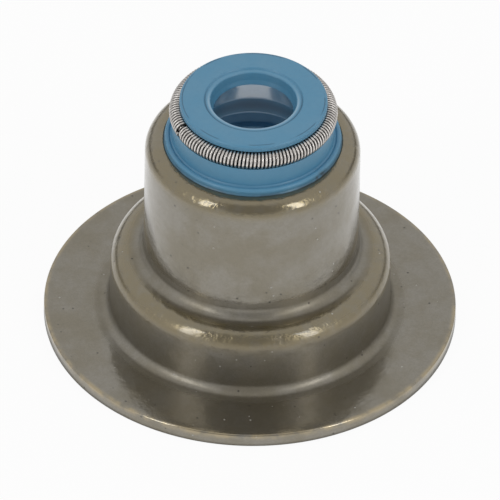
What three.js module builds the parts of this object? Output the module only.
// A valve stem seal with its own spring seat, for an engine with 6 mm valve stems.
// Millimetres, +Z up. The origin is on the seal's axis, at the underside of the flange.
// The seal has three pieces. A steel case is drawn from one sheet into a flange, a step and a
// collar. A rubber element is bonded into the collar: it grips the valve guide from below and
// wipes the stem with its lip. A garter spring, a close-wound coil closed into a ring, lies in
// the rubber's groove and keeps the lip on the stem.

import * as THREE from 'three';

// What the seal fits
const stemDiameter = 6.0;
const lipInterference = 0.24;
const guideDiameter = 10.7;

// Steel case
const sheet = 1.05;
const edgeRound = 0.15;
const collarInnerBend = 0.05;
const collarTurnIn = 0.29;
const collarRise = 10.3;
const coveRadius = 0.75;
const ledgeWidth = 0.39;
const stepInnerBend = 0.2;
const stepHeight = 6.2;
const flangeFillet = 0.7;
const flangeWidth = 4.1;

// Rubber element
const bondGap = 0.03;
const sleeveWall = 1.38;
const ribCount = 3;
const ribHeight = 0.2;
const ribHalfWidth = 0.35;
const ribCrestHalfWidth = 0.1;
const guideLeadIn = 0.4;
const beadRise = 0.5;
const beadRound = 0.12;
const neckStep = 0.51;
const lipDepth = 1.01;
const mouthFlare = 0.26;
const funnelWidth = 0.48;
const funnelDepth = 0.08;
const oilSideWidth = 0.2;
const oilSideDepth = 0.29;
const airSideAngle = THREE.MathUtils.degToRad(27);
const airSideLength = 2.3;
const reliefLength = 1.4;
const reliefFlare = 0.1;
const reliefBevel = 0.12;
const ceilingBevel = 0.2;
const rimSetback = 0.1;
const rimRound = 0.17;
const rimThickness = 0.48;

// Garter spring
const coilRadius = 0.65;
const wire = 0.2;
const grooveClearance = 0.03;
const springProud = 0.23;
const springRise = 2.56;
const windingGap = 0.023;
const nibTurns = 4;
const nibTaperTurns = 1.5;
const nibClearance = 0.07;
const jointAngle = THREE.MathUtils.degToRad(205);

// Fineness of the round surfaces
const roundSides = 44;
const bendSteps = 4;
const edgeSteps = 2;
const grooveSteps = 7;
const stepsPerTurn = 8;

// Radii, from the stem and the guide outwards
const lipRadius = (stemDiameter - lipInterference) / 2;
const mouthRadius = lipRadius + mouthFlare;
const funnelRadius = mouthRadius + funnelWidth;
const reliefRadius = lipRadius + airSideLength * Math.tan(airSideAngle);
const socketRadius = guideDiameter / 2;
const collarRadius = socketRadius + sleeveWall + bondGap + sheet;
const collarOuterBend = collarInnerBend + sheet;
const openingRadius = collarRadius - collarOuterBend - collarTurnIn;
const beadRadius = openingRadius - bondGap;
const neckRadius = beadRadius - neckStep;
const springRadius = neckRadius + springProud - coilRadius;
const grooveRadius = coilRadius + grooveClearance;
const rimRadius = springRadius - rimSetback;
const coveCentreRadius = collarRadius + coveRadius;
const stepOuterBend = stepInnerBend + sheet;
const stepBendRadius = coveCentreRadius + ledgeWidth;
const stepRadius = stepBendRadius + stepOuterBend;
const filletCentreRadius = stepRadius + flangeFillet;
const flangeRadius = filletCentreRadius + flangeWidth;

// As many turns as lie side by side where they crowd, on the inside of the ring
const windingRadius = coilRadius - wire / 2;
const coilTurns = Math.floor(2 * Math.PI * (springRadius - windingRadius) / (wire + windingGap));

// Heights, from the flange's underside upwards
const filletCentreHeight = sheet + flangeFillet;
const stepBendHeight = stepHeight - stepOuterBend;
const coveCentreHeight = stepHeight + coveRadius;
const collarHeight = stepHeight + collarRise;
const collarBendHeight = collarHeight - collarOuterBend;
const beadHeight = collarHeight + beadRise;
const springHeight = collarHeight + springRise;
const rubberHeight = springHeight + grooveRadius + rimThickness;
const mouthHeight = rubberHeight - funnelDepth;
const lipHeight = rubberHeight - lipDepth;
const airSideEnd = lipHeight - airSideLength;
const reliefEnd = airSideEnd - reliefLength;
const socketCeiling = reliefEnd - reliefBevel;

// Directions in the section plane, where the radius runs right and the height runs up
const right = 0;
const up = Math.PI / 2;
const left = Math.PI;
const down = 3 * Math.PI / 2;
const fullTurn = 2 * Math.PI;

const point = (radius, height) => new THREE.Vector2(radius, height);

// Points of an arc from one direction to another, clockwise where the end angle is the smaller one
function arc(radius, height, bend, startAngle, endAngle, steps) {
  const clockwise = endAngle < startAngle;
  const curve = new THREE.EllipseCurve(radius, height, bend, bend, startAngle, endAngle, clockwise);
  return curve.getPoints(steps);
}

// The cove between the ledge and the collar, at a depth in the sheet: the steel's two faces and
// the rubber that is bonded to it all follow it
function coveArc(depth) {
  return arc(coveCentreRadius, coveCentreHeight, coveRadius + depth, down, left, bendSteps + 1);
}

// Turns a closed section into a ring round the Z axis
function ring(section) {
  const outline = section.filter((corner, i) => i === 0
    || corner.distanceTo(section[i - 1]) > 0.001);
  outline.push(outline[0].clone());
  const geometry = new THREE.LatheGeometry(outline, roundSides);
  geometry.rotateX(up);
  return geometry;
}

function steelCase() {
  const outside = [
    ...arc(flangeRadius - edgeRound, edgeRound, edgeRound, down - fullTurn, right, edgeSteps),
    ...arc(flangeRadius - edgeRound, sheet - edgeRound, edgeRound, right, up, edgeSteps),
    ...arc(filletCentreRadius, filletCentreHeight, flangeFillet, down, left, bendSteps),
    ...arc(stepBendRadius, stepBendHeight, stepOuterBend, right, up, bendSteps),
    ...coveArc(0),
    ...arc(collarRadius - collarOuterBend, collarBendHeight, collarOuterBend, right, up, bendSteps),
  ];
  const openingEdge = [
    ...arc(openingRadius + edgeRound, collarHeight - edgeRound, edgeRound,
      up, left, edgeSteps),
    ...arc(openingRadius + edgeRound, collarHeight - sheet + edgeRound, edgeRound,
      left, down, edgeSteps),
  ];
  const inside = [
    ...arc(collarRadius - collarOuterBend, collarBendHeight, collarInnerBend, up, right, 1),
    ...coveArc(sheet).reverse(),
    ...arc(stepBendRadius, stepBendHeight, stepInnerBend, up, right, edgeSteps),
    ...arc(filletCentreRadius, filletCentreHeight, flangeFillet + sheet,
      left, down, bendSteps),
  ];
  return ring([...outside, ...openingEdge, ...inside]);
}

// Grip ribs inside the sleeve, from the top one down
function guideRibs(top, bottom) {
  const ribs = [];
  for (let i = 1; i <= ribCount; i += 1) {
    const height = top - (top - bottom) * i / (ribCount + 1);
    ribs.push(
      point(socketRadius, height + ribHalfWidth),
      point(socketRadius - ribHeight, height + ribCrestHalfWidth),
      point(socketRadius - ribHeight, height - ribCrestHalfWidth),
      point(socketRadius, height - ribHalfWidth),
    );
  }
  return ribs;
}

function rubberElement() {
  const bondDepth = sheet + bondGap;
  const sleeveFoot = coveArc(bondDepth).at(-1);
  const sleeveTop = collarHeight - bondDepth;
  const sleeveRadius = collarRadius - bondDepth;
  const sleeve = [
    sleeveFoot,
    point(sleeveRadius, sleeveTop - collarInnerBend),
    point(sleeveRadius - collarInnerBend, sleeveTop),
  ];
  const neck = [
    point(beadRadius, sleeveTop),
    ...arc(beadRadius - beadRound, beadHeight - beadRound, beadRound, right, up, edgeSteps),
    point(neckRadius, beadHeight),
  ];
  const grooveStart = -Math.acos((neckRadius - springRadius) / grooveRadius);
  const grooveEnd = Math.acos((rimRadius - springRadius) / grooveRadius) - fullTurn;
  const groove = arc(springRadius, springHeight, grooveRadius, grooveStart, grooveEnd, grooveSteps);
  const face = [
    ...arc(rimRadius - rimRound, rubberHeight - rimRound, rimRound, right, up, edgeSteps),
    point(funnelRadius, rubberHeight),
    point(mouthRadius, mouthHeight),
  ];
  const lip = [
    point(lipRadius + oilSideWidth, lipHeight + oilSideDepth),
    point(lipRadius, lipHeight),
    point(reliefRadius, airSideEnd),
    point(reliefRadius + reliefFlare, reliefEnd),
    point(reliefRadius + reliefFlare + reliefBevel * Math.tan(airSideAngle), socketCeiling),
  ];
  const socket = [
    point(socketRadius - ceilingBevel, socketCeiling),
    point(socketRadius, socketCeiling - ceilingBevel),
    ...guideRibs(socketCeiling, sleeveFoot.y),
    point(socketRadius, sleeveFoot.y + guideLeadIn),
    point(socketRadius + guideLeadIn, sleeveFoot.y),
  ];
  return ring([...sleeve, ...neck, ...groove, ...face, ...lip, ...socket]);
}

// The spring's wire: a helix wound round a ring. It starts as a narrow nib, which is screwed into
// the coil's other end, widens to the full coil and runs round until it covers the nib.
class GarterWire extends THREE.Curve {
  constructor() {
    super();
    this.turns = coilTurns + nibTurns;
    const flatInside = windingRadius * Math.cos(Math.PI / stepsPerTurn);
    this.nibRadius = flatInside - wire - nibClearance;
  }

  angles(t) {
    const turn = t * this.turns;
    const widened = THREE.MathUtils.smoothstep(turn, nibTurns, nibTurns + nibTaperTurns);
    return {
      winding: turn * fullTurn,
      around: jointAngle + (turn - nibTurns) / coilTurns * fullTurn,
      radius: THREE.MathUtils.lerp(this.nibRadius, windingRadius, widened),
    };
  }

  getPoint(t, target = new THREE.Vector3()) {
    const { winding, around, radius } = this.angles(t);
    const reach = springRadius + radius * Math.cos(winding);
    return target.set(reach * Math.cos(around), reach * Math.sin(around),
      springHeight + radius * Math.sin(winding));
  }

  getPointAt(u, target) {
    return this.getPoint(u, target);
  }

  // Frames that keep one edge of the wire facing away from the middle of the coil
  computeFrenetFrames(segments) {
    const frames = { tangents: [], normals: [], binormals: [] };
    for (let i = 0; i <= segments; i += 1) {
      const t = i / segments;
      const { winding, around } = this.angles(t);
      const tangent = this.getTangent(t);
      const outwards = new THREE.Vector3(Math.cos(winding) * Math.cos(around),
        Math.cos(winding) * Math.sin(around), Math.sin(winding));
      const binormal = new THREE.Vector3().crossVectors(tangent, outwards).normalize();
      frames.tangents.push(tangent);
      frames.binormals.push(binormal);
      frames.normals.push(new THREE.Vector3().crossVectors(binormal, tangent));
    }
    return frames;
  }
}

function garterSpring() {
  const wireSection = new THREE.Shape();
  wireSection.setFromPoints([0, 1, 2].map((side) => {
    const turned = side * fullTurn / 3;
    return point(wire / 2 * Math.cos(turned), wire / 2 * Math.sin(turned));
  }));
  const path = new GarterWire();
  return new THREE.ExtrudeGeometry(wireSection, {
    steps: path.turns * stepsPerTurn, extrudePath: path, bevelEnabled: false,
  });
}

const lacqueredSteel = new THREE.MeshStandardMaterial({
  color: 0x7d776b, roughness: 0.38, metalness: 0.7,
});
const blueRubber = new THREE.MeshStandardMaterial({
  color: 0x5c88a2, roughness: 0.5, metalness: 0.0,
});
const springSteel = new THREE.MeshStandardMaterial({
  color: 0x9c9792, roughness: 0.3, metalness: 1.0,
});

function part(name, geometry, material) {
  const mesh = new THREE.Mesh(geometry, material);
  mesh.name = name;
  return mesh;
}

const valveStemSeal = new THREE.Group();
valveStemSeal.add(part('steel_case', steelCase(), lacqueredSteel));
valveStemSeal.add(part('rubber_seal', rubberElement(), blueRubber));
valveStemSeal.add(part('garter_spring', garterSpring(), springSteel));

export default valveStemSeal;
